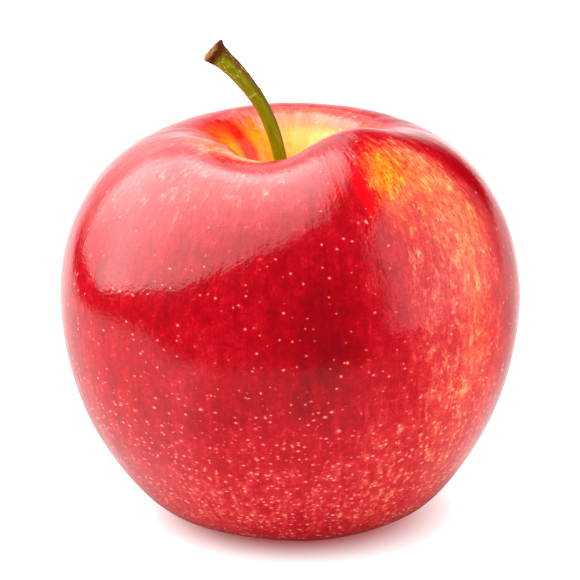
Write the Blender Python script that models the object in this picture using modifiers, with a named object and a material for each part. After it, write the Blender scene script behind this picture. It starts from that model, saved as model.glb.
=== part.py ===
"""A ripe red apple with its stem, resting on the low knobs around its calyx.

The apple stands on the XY plane with +Z up and its front towards -Y. The flesh and skin are
one body, because they grew as one: a turned profile from the floor of the stem cavity to the
floor of the calyx basin, with uneven shoulders and five knobs to rest on. The stem is rooted
in a socket in the cavity. The dried sepals, stamens and styles of the flower sit in the basin.
"""
import math

import bmesh
import bpy
from mathutils import Matrix, Vector

# Driving dimensions, in metres.
MM = 0.001
BODY_WIDTH = 78.2 * MM
BODY_HEIGHT = 66.2 * MM      # resting plane to the shoulders, before the shoulders' own lobes
STEM_RADIUS = 1.05 * MM      # at the thinnest stretch
CLEARANCE = 0.3 * MM         # between two pieces that touch

# The apple's profile from the stem cavity's floor to the calyx basin's floor. Each point is a
# radius as a part of half the width, and a height as a part of the body's height.
PROFILE = (
    (0.000, 0.755),  # floor of the stem cavity
    (0.051, 0.767),
    (0.128, 0.822),
    (0.220, 0.909),  # cavity wall
    (0.322, 0.970),
    (0.465, 1.000),  # shoulders
    (0.639, 0.976),
    (0.818, 0.894),
    (0.946, 0.764),
    (1.000, 0.598),  # widest ring
    (0.974, 0.429),
    (0.885, 0.269),
    (0.747, 0.136),
    (0.590, 0.042),
    (0.430, 0.000),  # outer edge of the resting ring
    (0.385, 0.000),  # inner edge of the resting ring
    (0.288, 0.017),
    (0.184, 0.066),
    (0.087, 0.121),
    (0.000, 0.142),  # floor of the calyx basin
)
# Places along the profile, counted in its points.
SHOULDERS = 5.0              # the highest ring
CAVITY_EDGE = 4.5            # where the lobes lean in most
UNDERSIDE = 12.7             # the flank just above the floor
RESTING_RING = 14.5

# Lobes of the shoulders: azimuth and width in degrees, rise, and lean in over the cavity.
# Azimuth 0 is the front (-Y) and 90 the right (+X).
SHOULDER_LOBES = (
    (20, 16, 1.9 * MM, 2.4 * MM),
    (52, 19, 3.4 * MM, 3.2 * MM),
    (84, 14, 0.7 * MM, 0.0),
    (140, 20, 0.3 * MM, 0.0),
    (180, 24, 0.2 * MM, 0.0),
    (-112, 22, -0.5 * MM, 0.0),
    (-62, 20, 1.6 * MM, 1.5 * MM),
)
RISE_REACH = (10 * MM, 16 * MM)   # how far a lobe's rise carries: into the cavity, and outside
LEAN_REACH = (9 * MM, 13 * MM)    # the same for its lean
PIT_RADIUS = 6 * MM               # inside this radius the lean fades out

# The lower right of the flank is a little fuller than the rest: azimuth, width, fullness.
FULL_FLANK = (52, 34, 0.75 * MM)
FULL_FLANK_REACH = (9 * MM, 9 * MM)

# Five knobs around the calyx basin carry the apple.
KNOBS = 5
FIRST_KNOB = 18              # azimuth in degrees
KNOB_RELIEF = 0.35 * MM      # the rim between two knobs is this much higher
KNOB_REACH = (8 * MM, 8 * MM)
FLAT_SPOT = 0.15 * MM        # what is lower than this is pressed flat where the apple rests

RINGS_PER_POINT = 2          # rings of the mesh for each point of the profile
SEGMENTS = 60

# Socket of the stem and tube of the calyx, both cut into the flesh.
PIT_FLOOR = PROFILE[0][1] * BODY_HEIGHT
BASIN_FLOOR = PROFILE[-1][1] * BODY_HEIGHT
SOCKET_DEPTH = 5.2 * MM
SOCKET_RADIUS = STEM_RADIUS + 0.15 * MM + CLEARANCE
TUBE_DEPTH = 5.0 * MM
TUBE_RADIUS = 2.0 * MM
TUBE_END_RADIUS = 1.5 * MM
CUTTER_OVERRUN = 2.5 * MM    # how far a cutter stands out of the skin
CUTTER_SIDES = 24

# The stem's centre line from its root: x, y, height above the pit's floor, and thickness
# as a multiple of STEM_RADIUS. It leans left and back and flares where it broke off the spur.
STEM_LINE = (
    (0.0 * MM, 0.0 * MM, -4.9 * MM, 0.90),
    (0.0 * MM, 0.0 * MM, 0.0 * MM, 1.08),
    (-0.2 * MM, 0.2 * MM, 6.0 * MM, 1.00),
    (-1.2 * MM, 0.5 * MM, 11.6 * MM, 1.02),
    (-2.6 * MM, 0.9 * MM, 16.6 * MM, 1.10),
    (-5.0 * MM, 1.4 * MM, 21.6 * MM, 1.19),
    (-8.6 * MM, 2.0 * MM, 26.4 * MM, 1.42),
    (-11.0 * MM, 2.3 * MM, 28.7 * MM, 1.75),
    (-12.7 * MM, 2.6 * MM, 30.1 * MM, 2.08),
)
STEM_ROUNDNESS = 6           # bevel resolution, which gives 16 sides

# A dried sepal: distance from the calyx's axis, drop below the basin's floor, half width.
SEPALS = 5
FIRST_SEPAL = 54             # azimuth in degrees, between two knobs
SEPAL_THICKNESS = 0.45 * MM
SEPAL_LINE = (
    (2.75 * MM, 1.50 * MM, 1.50 * MM),
    (2.70 * MM, 2.45 * MM, 1.52 * MM),
    (2.85 * MM, 3.35 * MM, 1.38 * MM),
    (3.40 * MM, 4.15 * MM, 1.08 * MM),
    (4.30 * MM, 4.65 * MM, 0.72 * MM),
    (5.30 * MM, 4.80 * MM, 0.40 * MM),
    (6.20 * MM, 4.70 * MM, 0.18 * MM),
)
SEPAL_CUP = 0.18             # how far a sepal's edges turn in, as a part of its half width
SEPAL_COLUMNS = 4

# The dried stamens, in a ring inside the tube's mouth, and the styles in the middle of them.
STAMENS = 10
STAMEN_RADIUS = 0.15 * MM
STAMEN_RING = TUBE_RADIUS - STAMEN_RADIUS - 0.5 * MM
STAMEN_ROOT = 0.6 * MM       # above the basin's floor
STAMEN_DROP = 3.0 * MM       # how far the longest hang below the basin's floor
STAMEN_LENGTHS = (1.0, 0.82, 0.92)
ANTHER_SWELL = 2.2           # thickness of the anther as a multiple of the filament's
STYLE_RADIUS = 0.36 * MM
STYLE_DROP = 2.2 * MM
STIGMA_SWELL = 1.35


# ---------------------------------------------------------------- scene, collections, materials

def clear_scene():
    """Remove the objects that the scene starts with."""
    for found in list(bpy.data.objects):
        bpy.data.objects.remove(found, do_unlink=True)


def new_collection(name):
    collection = bpy.data.collections.new(name)
    bpy.context.scene.collection.children.link(collection)
    return collection


def new_material(name, color, roughness):
    """A plain material of one piece; nothing on an apple is metallic."""
    material = bpy.data.materials.new(name)
    material.use_nodes = True
    shader = material.node_tree.nodes["Principled BSDF"]
    shader.inputs["Base Color"].default_value = (*color, 1.0)
    shader.inputs["Roughness"].default_value = roughness
    shader.inputs["Metallic"].default_value = 0.0
    return material


def add_object(name, data, material, collection, parent):
    """Make an object of mesh or curve data, with its material, in a collection."""
    made = bpy.data.objects.new(name, data)
    collection.objects.link(made)
    data.materials.append(material)
    made.parent = parent
    return made


def add_empty(name, height, collection):
    """Make an empty on the apple's axis, for pieces to hang on."""
    empty = bpy.data.objects.new(name, None)
    empty.location.z = height
    collection.objects.link(empty)
    return empty


def mesh_from(bm, name):
    """Finish a bmesh as a smooth-shaded mesh."""
    mesh = bpy.data.meshes.new(name)
    bm.to_mesh(mesh)
    bm.free()
    mesh.shade_smooth()
    mesh.set_sharp_from_angle(angle=math.radians(50))
    return mesh


# ---------------------------------------------------------------- the apple's form

def profile_direction(before, here, after, step):
    """The profile's direction at a point, over a step of the centripetal curve."""
    back = math.sqrt((here - before).length)
    ahead = math.sqrt((after - here).length)
    slope = (here - before) / back + (after - here) / ahead
    return (slope - (after - before) / (back + ahead)) * step


def profile_point(place):
    """Radius and height at a place along the profile, on a smooth curve through its points."""
    points = [Vector((r * BODY_WIDTH / 2, z * BODY_HEIGHT)) for r, z in PROFILE]
    across = Vector((-1.0, 1.0))
    points = [points[1] * across, *points, points[-2] * across]
    first = min(int(place), len(PROFILE) - 2)
    part = place - first
    before, start, end, after = points[first:first + 4]
    step = math.sqrt((end - start).length)
    out_of_start = start + profile_direction(before, start, end, step) / 3
    into_end = end - profile_direction(start, end, after, step) / 3
    rest = 1.0 - part
    near = start * rest ** 3 + out_of_start * 3 * rest ** 2 * part
    return near + into_end * 3 * rest * part ** 2 + end * part ** 3


def fade(place, centre, reach):
    """1 at the centre place, fading with the distance from it along the profile's plane."""
    distance = (profile_point(place) - profile_point(centre)).length
    return math.exp(-(distance / reach[0 if place < centre else 1]) ** 2)


def around(azimuth, centre, width):
    """1 at the centre azimuth, fading over the width; both are in degrees."""
    turn = math.cos(azimuth - math.radians(centre)) - 1.0
    return math.exp(turn / math.radians(width) ** 2)


def skin_ring(place):
    """The ring of the skin at a place along the profile, as a function of the azimuth."""
    radius, height = profile_point(place)
    rise_here = fade(place, SHOULDERS, RISE_REACH)
    lean_here = fade(place, CAVITY_EDGE, LEAN_REACH) * min(radius / PIT_RADIUS, 1.0)
    flank_here = fade(place, UNDERSIDE, FULL_FLANK_REACH)
    knob_here = fade(place, RESTING_RING, KNOB_REACH)

    def point(azimuth):
        out = radius
        up = height
        for centre, width, rise, lean in SHOULDER_LOBES:
            out -= lean * lean_here * around(azimuth, centre, width)
            up += rise * rise_here * around(azimuth, centre, width)
        out += FULL_FLANK[2] * flank_here * around(azimuth, FULL_FLANK[0], FULL_FLANK[1])
        turn = KNOBS * (azimuth - math.radians(FIRST_KNOB))
        up += KNOB_RELIEF * knob_here * (1.0 - math.cos(turn)) / 2
        if up < FLAT_SPOT:
            up = 0.0
        return Vector((out * math.sin(azimuth), -out * math.cos(azimuth), up))

    return point


def make_body_mesh():
    """Start from a sphere and pull each of its rings to its place on the apple's skin."""
    bm = bmesh.new()
    spans = len(PROFILE) - 1
    rings = spans * RINGS_PER_POINT
    bmesh.ops.create_uvsphere(bm, u_segments=SEGMENTS, v_segments=rings, radius=1.0)
    skin = [skin_ring(ring / RINGS_PER_POINT) for ring in range(rings + 1)]
    for vert in bm.verts:
        polar = math.acos(max(-1.0, min(1.0, vert.co.z)))
        ring = round(polar / math.pi * rings)
        vert.co = skin[ring](math.atan2(vert.co.x, -vert.co.y))
    bmesh.ops.recalc_face_normals(bm, faces=bm.faces)
    return mesh_from(bm, "apple_body")


def add_cutter(name, low, high, low_radius, high_radius, collection):
    """Make an upright tapered cutter on the apple's axis, between two heights."""
    bm = bmesh.new()
    bmesh.ops.create_cone(
        bm, cap_ends=True, segments=CUTTER_SIDES, radius1=low_radius, radius2=high_radius,
        depth=high - low, matrix=Matrix.Translation((0.0, 0.0, (low + high) / 2)))
    cutter = bpy.data.objects.new(name, mesh_from(bm, name))
    collection.objects.link(cutter)
    cutter.hide_render = True
    cutter.display_type = "WIRE"
    return cutter


def cut(target, cutter):
    boolean = target.modifiers.new(cutter.name, "BOOLEAN")
    boolean.operation = "DIFFERENCE"
    boolean.solver = "EXACT"
    boolean.object = cutter


def build_body(parts, cutters):
    skin = new_material("apple_skin", (0.55, 0.02, 0.03), 0.22)
    body = add_object("apple_body", make_body_mesh(), skin, parts, None)
    socket = add_cutter(
        "stem_socket", PIT_FLOOR - SOCKET_DEPTH, PIT_FLOOR + CUTTER_OVERRUN,
        SOCKET_RADIUS, SOCKET_RADIUS, cutters)
    tube = add_cutter(
        "calyx_tube", BASIN_FLOOR - CUTTER_OVERRUN, BASIN_FLOOR + TUBE_DEPTH,
        TUBE_RADIUS, TUBE_END_RADIUS, cutters)
    cut(body, socket)
    cut(body, tube)


# ---------------------------------------------------------------- round stalks of any kind

def make_stalk(name, line, depth, steps, roundness):
    """A rod along points of x, y, z and relative thickness, with filled ends."""
    curve = bpy.data.curves.new(name, "CURVE")
    curve.dimensions = "3D"
    curve.bevel_depth = depth
    curve.bevel_resolution = roundness
    curve.resolution_u = steps
    curve.use_fill_caps = True
    spline = curve.splines.new("BEZIER")
    spline.bezier_points.add(len(line) - 1)
    for point, (x, y, z, thickness) in zip(spline.bezier_points, line):
        point.co = (x, y, z)
        point.radius = thickness
        point.handle_left_type = "AUTO"
        point.handle_right_type = "AUTO"
    return curve


def build_stem(parts):
    wood = new_material("stem_wood", (0.20, 0.17, 0.03), 0.55)
    root = add_empty("stem_root", PIT_FLOOR, parts)
    curve = make_stalk("stem", STEM_LINE, STEM_RADIUS, 4, STEM_ROUNDNESS)
    add_object("stem", curve, wood, parts, root)


# ---------------------------------------------------------------- the dried flower in the basin

def make_sepal_mesh():
    """A pointed leaf, curved down and out, before it gets its thickness."""
    bm = bmesh.new()
    rows = len(SEPAL_LINE) - 1
    bmesh.ops.create_grid(bm, x_segments=SEPAL_COLUMNS, y_segments=rows, size=1.0)
    for vert in bm.verts:
        across = vert.co.x
        distance, drop, half_width = SEPAL_LINE[round((vert.co.y + 1.0) / 2 * rows)]
        turned_in = SEPAL_CUP * half_width * across ** 2
        vert.co = (across * half_width, turned_in - distance, -drop)
    return mesh_from(bm, "sepal")


def build_sepals(parts, calyx):
    dry_leaf = new_material("dried_sepal", (0.13, 0.10, 0.05), 0.85)
    mesh = make_sepal_mesh()
    mesh.materials.append(dry_leaf)
    for index in range(SEPALS):
        sepal = bpy.data.objects.new(f"sepal_{index + 1}", mesh)
        parts.objects.link(sepal)
        sepal.parent = calyx
        sepal.rotation_euler.z = math.radians(FIRST_SEPAL + index * 360 / SEPALS)
        solidify = sepal.modifiers.new("thickness", "SOLIDIFY")
        solidify.thickness = SEPAL_THICKNESS
        solidify.offset = 0.0


def stamen_line(length):
    """A filament out of the tube's mouth with an anther at its end."""
    drop = STAMEN_DROP * length
    anther = 2 * ANTHER_SWELL * STAMEN_RADIUS
    return (
        (0.0, -STAMEN_RING, STAMEN_ROOT, 1.0),
        (0.0, -STAMEN_RING, -drop / 2, 1.0),
        (0.0, -STAMEN_RING - STAMEN_RADIUS, anther - drop, 1.0),
        (0.0, -STAMEN_RING - STAMEN_RADIUS, anther / 2 - drop, ANTHER_SWELL),
        (0.0, -STAMEN_RING - STAMEN_RADIUS, -drop, ANTHER_SWELL / 2),
    )


def build_stamens(parts, calyx):
    filament = new_material("dried_stamen", (0.10, 0.06, 0.03), 0.8)
    for index in range(STAMENS):
        name = f"stamen_{index + 1:02d}"
        line = stamen_line(STAMEN_LENGTHS[index % len(STAMEN_LENGTHS)])
        curve = make_stalk(name, line, STAMEN_RADIUS, 2, 1)
        stamen = add_object(name, curve, filament, parts, calyx)
        stamen.rotation_euler.z = math.radians(index * 360 / STAMENS)


def build_styles(parts, calyx):
    style = new_material("dried_styles", (0.08, 0.05, 0.03), 0.8)
    line = (
        (0.0, 0.0, TUBE_DEPTH - CLEARANCE, STIGMA_SWELL),
        (0.0, 0.0, TUBE_DEPTH / 2, 1.0),
        (0.0, 0.0, STYLE_RADIUS - STYLE_DROP, 1.0),
        (0.0, 0.0, -STYLE_DROP, STIGMA_SWELL),
    )
    curve = make_stalk("styles", line, STYLE_RADIUS, 3, 3)
    add_object("styles", curve, style, parts, calyx)


def build():
    clear_scene()
    parts = new_collection("red_apple")
    cutters = new_collection("cutters")
    build_body(parts, cutters)
    build_stem(parts)
    calyx = add_empty("calyx", BASIN_FLOOR, parts)
    build_sepals(parts, calyx)
    build_stamens(parts, calyx)
    build_styles(parts, calyx)


build()
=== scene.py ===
"""The looks of a ripe red apple: its skin, stem and dried flower, on a white floor.

Every visible piece replaces its CAD node with a finer mesh of the same form and size, and
takes a procedural material. Lengths are in metres where no comment says otherwise.
"""
import itertools
import math

import bmesh
import bpy
import numpy as np
from mathutils import Matrix, Vector


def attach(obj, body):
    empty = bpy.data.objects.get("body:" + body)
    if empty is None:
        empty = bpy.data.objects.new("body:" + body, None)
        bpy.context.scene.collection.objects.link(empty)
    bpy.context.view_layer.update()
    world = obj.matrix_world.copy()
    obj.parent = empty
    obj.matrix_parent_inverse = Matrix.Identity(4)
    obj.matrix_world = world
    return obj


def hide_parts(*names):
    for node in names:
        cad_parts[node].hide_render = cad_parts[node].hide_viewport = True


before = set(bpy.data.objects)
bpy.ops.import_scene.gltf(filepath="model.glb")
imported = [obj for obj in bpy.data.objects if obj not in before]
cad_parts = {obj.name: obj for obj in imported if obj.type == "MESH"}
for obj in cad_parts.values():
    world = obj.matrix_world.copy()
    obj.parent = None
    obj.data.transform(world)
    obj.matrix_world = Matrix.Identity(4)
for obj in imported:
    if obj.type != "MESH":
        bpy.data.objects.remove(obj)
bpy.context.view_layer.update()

MM = 0.001
BODY = "root"

# -------- camera

AIM_HEIGHT = 39.0 * MM  # the camera aims at this point above the middle of the resting plane
CAMERA_DISTANCE = 0.6
CAMERA_ELEVATION = math.radians(18.0)
LENS = 218.7  # millimetres, on Blender's 36 mm sensor


def add_object(name, data):
    made = bpy.data.objects.new(name, data)
    bpy.context.scene.collection.objects.link(made)
    return made


def make_camera():
    data = bpy.data.cameras.new("camera")
    data.lens = LENS
    camera = add_object("camera", data)
    back = Vector((0.0, -math.cos(CAMERA_ELEVATION), math.sin(CAMERA_ELEVATION)))
    camera.location = Vector((0.0, 0.0, AIM_HEIGHT)) + back * CAMERA_DISTANCE
    camera.rotation_euler = (-back).to_track_quat("-Z", "Y").to_euler()
    bpy.context.scene.camera = camera


make_camera()

# -------- node trees


class Graph:
    """A node tree with short calls for the nodes that the looks are made of."""

    def __init__(self, tree):
        self.tree = tree

    def put(self, socket, value):
        """Link a socket to a value, or set the socket where the value is plain."""
        if isinstance(value, bpy.types.NodeSocket):
            self.tree.links.new(value, socket)
        elif isinstance(value, tuple) and len(value) == 3 and socket.type == "RGBA":
            socket.default_value = (*value, 1.0)
        else:
            socket.default_value = value

    def node(self, kind, **settings):
        made = self.tree.nodes.new(kind)
        for name, value in settings.items():
            setattr(made, name, value)
        return made

    def fill(self, made, **inputs):
        """Set a node's inputs by their names, with _ for a space."""
        for name, value in inputs.items():
            self.put(made.inputs[name.replace("_", " ")], value)
        return made

    def feed(self, made, *values):
        """Set a node's first inputs in their order."""
        for socket, value in zip(made.inputs, values):
            self.put(socket, value)
        return made.outputs[0]

    def math(self, operation, *values, kind="ShaderNodeMath"):
        return self.feed(self.node(kind, operation=operation), *values)

    def vector(self, operation, *values):
        return self.math(operation, *values, kind="ShaderNodeVectorMath")

    def plus(self, total, *others):
        for other in others:
            total = self.math("ADD", total, other)
        return total

    def times(self, product, *others):
        for other in others:
            product = self.math("MULTIPLY", product, other)
        return product

    def highest(self, best, *others):
        for other in others:
            best = self.math("MAXIMUM", best, other)
        return best

    def minus(self, value, other):
        return self.math("SUBTRACT", value, other)

    def length(self, vector):
        made = self.node("ShaderNodeVectorMath", operation="LENGTH")
        self.put(made.inputs[0], vector)
        return made.outputs["Value"]

    def mix(self, share, first, second, blend="MIX"):
        """Mix two colours."""
        made = self.node("ShaderNodeMix", data_type="RGBA", blend_type=blend)
        for index, value in ((0, share), (6, first), (7, second)):
            self.put(made.inputs[index], value)
        return made.outputs[2]

    def step(self, value, low, high, start=0.0, end=1.0):
        """A smooth step: start where the value is low, end where it is high."""
        made = self.node("ShaderNodeMapRange", interpolation_type="SMOOTHSTEP")
        return self.feed(made, value, low, high, start, end)

    def noise(self, place, scale, detail=2.0, roughness=0.5):
        made = self.node("ShaderNodeTexNoise", noise_dimensions="3D")
        self.fill(made, Vector=place, Scale=scale, Detail=detail, Roughness=roughness)
        return made.outputs["Fac"]

    def cells(self, place, scale):
        """Distance to the nearest of many scattered points, and two random numbers for each."""
        made = self.node("ShaderNodeTexVoronoi", voronoi_dimensions="3D", feature="F1")
        self.fill(made, Vector=place, Scale=scale)
        split = self.fill(self.node("ShaderNodeSeparateColor"), Color=made.outputs["Color"])
        return made.outputs["Distance"], split.outputs[0], split.outputs[1]

    def attribute(self, name, output="Fac"):
        return self.node("ShaderNodeAttribute", attribute_name=name).outputs[output]

    def axes(self, vector):
        return self.fill(self.node("ShaderNodeSeparateXYZ"), Vector=vector).outputs


class Surface(Graph):
    """A material on one Principled shader."""

    def __init__(self, name):
        self.material = bpy.data.materials.new(name)
        self.material.use_nodes = True
        super().__init__(self.material.node_tree)
        self.shader = self.tree.nodes["Principled BSDF"]
        self.place = self.node("ShaderNodeTexCoord").outputs["Object"]

    def set(self, **inputs):
        self.fill(self.shader, **inputs)

    def bump(self, height, distance):
        made = self.node("ShaderNodeBump")
        return self.fill(made, Strength=1.0, Distance=distance, Height=height).outputs[0]


def centred(graph, value, weight):
    """Noise about zero, as strong as the weight."""
    return graph.times(graph.minus(value, 0.5), weight)


# -------- floor, lights and world

WHITE = (1.0, 1.0, 1.0)
BLACK = (0.0, 0.0, 0.0)

FLOOR_CORNERS = ((-3.0, -3.0, 0.0), (3.0, -3.0, 0.0), (3.0, 3.0, 0.0), (-3.0, 3.0, 0.0))
FLOOR_GAP = 0.05 * MM  # the floor lies this much below the resting plane
FLOOR_WHITE = (0.86, 0.86, 0.86)
FLOOR_ROUGHNESS = 0.4
FLOOR_PAINTED_BOUNCE = (0.88, 0.82, 0.855)  # painted red bounce light of the skin on the floor around the contact,
PAINTED_BOUNCE_FADE = (0.016, 0.034)  # which fades between these radii
PAINTED_CONTACT_GLOW = (1.0, 0.07, 0.05)  # a painted red glow of the floor round the contact, standing in for light that the flesh lets through to it
CONTACT_FADE = (0.018, 0.0265)
CONTACT_STRENGTH = 0.16
SHADE_CENTRE = (0.0014, 0.0, 0.0)  # the apple shades the floor round this point
TABLE_PAINTED_SHADOW = (0.015, 0.0365)  # the lit table's glow grows between these radii: its lack near the apple is a painted shadow
TABLE_GLOW = 0.12  # its glow on the colours
TABLE_SHINE = 0.95  # and its glow in view

STUDIO_GLOSS = 0.004  # how bright the dark studio shows in the gloss
BOARD_EDGE = (0.125, 0.172)  # in the gloss the floor ends between these radii in front
BOARD_CORNER = 0.11  # and its front edge is round as far as this on the left
BOARD_SHINE = (0.34, 0.95)  # how bright it shows there, in front and beside
BOARD_FRONT = (-0.02, 0.03)  # the one turns into the other between these depths,
BOARD_BESIDE = (-1.4, 0.5)  # to which a place beside adds its x times these, left and right
BOARD_BEHIND = 1.35  # how much brighter it is behind
BOARD_BACK = (0.03, 0.14)  # and the depths between which it grows so
BOARD_LEFT = (0.225, 0.29)  # it ends on the left between these lines,
BOARD_LEFT_TURN = 0.6  # which come nearer towards the back,
BOARD_BEND = 0.12  # and lean out from this depth on
BOARD_BEND_TURN = 1.15
BOARD_RIGHT = (0.03, 0.085)  # on the right it grows dimmer between these lines,
BOARD_RIGHT_TURN = 0.33  # which lean out towards the back
BOARD_RIGHT_SHARE = 0.6
UNDER_FADE = (0.014, 0.042)  # it is dark and red within these radii under the apple: painted shadow and painted red bounce light
UNDER_SHARE = 0.16
UNDER_PAINTED_BOUNCE = (1.0, 0.34, 0.3)

APPLE_CENTRE = Vector((0.0, 0.0, 0.04))


def hide(thing, *rays):
    for ray in rays:
        setattr(thing, f"visible_{ray}", False)


def add_sheet(name, corners):
    """A flat sheet, and its material's graph."""
    mesh = bpy.data.meshes.new(name)
    mesh.from_pydata([tuple(corner) for corner in corners], [], [tuple(range(len(corners)))])
    surface = Surface(name)
    mesh.materials.append(surface.material)
    return add_object(name, mesh), surface


def board_in_gloss(white, out):
    """The floor as the gloss sees it: a lit board that ends on the left and in front.

    It is dimmer on the right, and dark and red where the apple stands: painted shadow and painted
    red bounce light of the skin.
    """
    x, y, _ = white.axes(white.place)
    ahead = white.math("MINIMUM", y, 0.0)
    corner = white.highest(white.math("MINIMUM", x, 0.0), -BOARD_CORNER)
    near = white.math("SQRT", white.plus(white.times(ahead, ahead), white.times(corner, corner)))
    beyond = white.highest(white.minus(y, BOARD_BEND), 0.0)
    left = white.minus(white.times(y, BOARD_LEFT_TURN), x)
    left = white.minus(left, white.times(beyond, BOARD_BEND_TURN))
    right = white.minus(x, white.times(white.highest(y, 0.0), BOARD_RIGHT_TURN))
    aside = white.highest(*(white.times(x, turn) for turn in BOARD_BESIDE))
    shine = white.times(white.step(white.plus(y, aside), *BOARD_FRONT, *BOARD_SHINE),
                        white.step(y, *BOARD_BACK, 1.0, BOARD_BEHIND),
                        white.step(near, *BOARD_EDGE, 1.0, 0.0),
                        white.step(left, *BOARD_LEFT, 1.0, 0.0),
                        white.step(right, *BOARD_RIGHT, 1.0, BOARD_RIGHT_SHARE),
                        white.step(out, *UNDER_FADE, UNDER_SHARE, 1.0))
    # Dark and red under the apple: painted shadow and painted red bounce light.
    colour = white.mix(white.step(out, *UNDER_FADE), UNDER_PAINTED_BOUNCE, WHITE)
    board = white.node("ShaderNodeEmission")
    white.fill(board, Color=colour, Strength=white.highest(shine, STUDIO_GLOSS))
    return board.outputs[0]


def make_floor():
    """A white floor, lit from below like a light table, whose glow fades out round the apple as a
    painted shadow.
    """
    floor, white = add_sheet("floor", FLOOR_CORNERS)
    floor.location.z = -FLOOR_GAP
    ray = white.node("ShaderNodeLightPath").outputs
    out = white.length(white.vector("SUBTRACT", white.place, SHADE_CENTRE))
    glow = white.plus(white.times(ray["Is Camera Ray"], TABLE_SHINE),
                      white.times(ray["Is Diffuse Ray"], TABLE_GLOW))
    # The glow fades out round the apple: a painted shadow on the floor.
    glow = white.mix(white.times(glow, white.step(out, *TABLE_PAINTED_SHADOW)), BLACK, WHITE)
    # A painted red glow round the contact, which stands in for the light the flesh lets through.
    contact = white.mix(white.step(out, *CONTACT_FADE, CONTACT_STRENGTH, 0.0), BLACK,
                        PAINTED_CONTACT_GLOW)
    # The floor's colour turns pink round the contact: painted red bounce light.
    white.set(Base_Color=white.mix(white.step(out, *PAINTED_BOUNCE_FADE), FLOOR_PAINTED_BOUNCE, FLOOR_WHITE),
              Roughness=FLOOR_ROUGHNESS, Emission_Strength=1.0,
              Emission_Color=white.mix(1.0, glow, contact, "ADD"))
    mixed = white.feed(white.node("ShaderNodeMixShader"), ray["Is Glossy Ray"],
                       white.shader.outputs[0], board_in_gloss(white, out))
    white.fill(white.tree.nodes["Material Output"], Surface=mixed)


def make_lamp(name, corner, side, up, radiance):
    """A soft lamp for the colours: a rectangle from a corner, along its side and up."""
    data = bpy.data.lights.new(name, "AREA")
    data.shape = "RECTANGLE"
    data.size, data.size_y = side.length, up.length
    # An area light spreads its power over a half space: radiance = power / (pi * area).
    data.energy = radiance * math.pi * side.length * up.length
    lamp = add_object(name, data)
    across, along = side.normalized(), up.normalized()
    turn = Matrix((across, along, across.cross(along))).transposed()
    lamp.matrix_world = Matrix.Translation(corner + side / 2 + up / 2) @ turn.to_4x4()
    hide(lamp, "camera", "glossy", "transmission")


def make_panel(name, corners):
    """A shining sheet that shows only in the gloss, and its material's graph."""
    panel, sheet = add_sheet(name, corners)
    hide(panel, "camera", "diffuse", "transmission", "shadow")
    sheet.set(Base_Color=BLACK, Specular_IOR_Level=0.0, Emission_Color=WHITE)
    return sheet


# The softbox hangs upper left. Its plane rises to the right by SOFTBOX_PITCH and passes the
# apple at SOFTBOX_REACH. Its outline is (along the slope, front to back), in reaches from the
# foot of the plane's normal, and so are all its other places and depths.
SOFTBOX_REACH = 0.42
SOFTBOX_PITCH = math.radians(53.6)
SOFTBOX_OUTLINE = ((-0.8, 0.36), (-0.62, -0.16), (-0.42, -0.5), (-0.12, -0.78), (0.3, -0.98),
                   (0.75, -1.16), (1.1, -1.4), (1.8, -1.4), (2.6, -0.9), (2.6, 0.4),
                   (2.1, 1.0), (1.75, 1.3), (1.75, 2.9), (0.0, 2.9),
                   (-0.57, 2.4), (-0.59, 1.34), (-0.76, 1.04))
SOFTBOX_SHINE = (2.4, 5.2)  # how bright it shows in the gloss, in front and behind
SOFTBOX_MIDDLE = (-0.75, 0.3)  # the one turns into the other between these depths
SOFTBOX_FRONT_EDGE = (-1.36, -0.84)  # its front edge is soft between these depths
SOFTBOX_BACK = (0.85, 1.3)  # it falls off between these
SOFTBOX_BACK_SHARE = 0.28  # to this share
SOFTBOX_HIGH_END = (1.35, 2.6)  # its high end is soft between these, along the slope
SOFTBOX_LOW_END = (-0.62, 0.12)  # its low end is dimmer before these, along the slope,
SOFTBOX_LOW_SHARE = (0.95, 0.34)  # by this share in front and this at the back,
SOFTBOX_LOW_DEPTHS = (0.0, 0.6)
SOFTBOX_LOW_RISE = 1.7  # and brighter again at its very back
SOFTBOX_RISE_DEPTHS = (1.15, 1.7)
SOFTBOX_PEAK = 2.3  # how much brighter in its brightest spot
SOFTBOX_PEAK_PLACE = (0.92, 0.75)
SOFTBOX_PEAK_SIZE = (0.06, 0.5)  # which fades between these radii
SOFTBOX_GLOW = 2.05  # radiance that lights the colours
SOFTBOX_LAMP = ((-0.7, 1.1), -1.8, 2.9)  # the lamp's corner, its depth, its length

# The reflector card stands upright on the right. Its outline is (front to back, up).
CARD_REACH = 0.4
CARD_OUTLINE = ((-1.1, -0.25), (0.45, -0.25), (1.1, 0.0), (1.1, 1.0), (0.6, 1.4),
                (-0.6, 1.4), (-1.1, 0.9))
CARD_SHINE = (1.35, 0.35)  # in the gloss, in front and behind
CARD_MIDDLE = (0.15, 0.85)
CARD_FRONT_EDGE = (-1.1, -0.66)
CARD_GLOW = 1.35
CARD_LAMP = ((-0.9, -0.1), 1.3, 1.5)


def scaled(numbers, unit):
    return tuple(number * unit for number in numbers)


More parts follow.
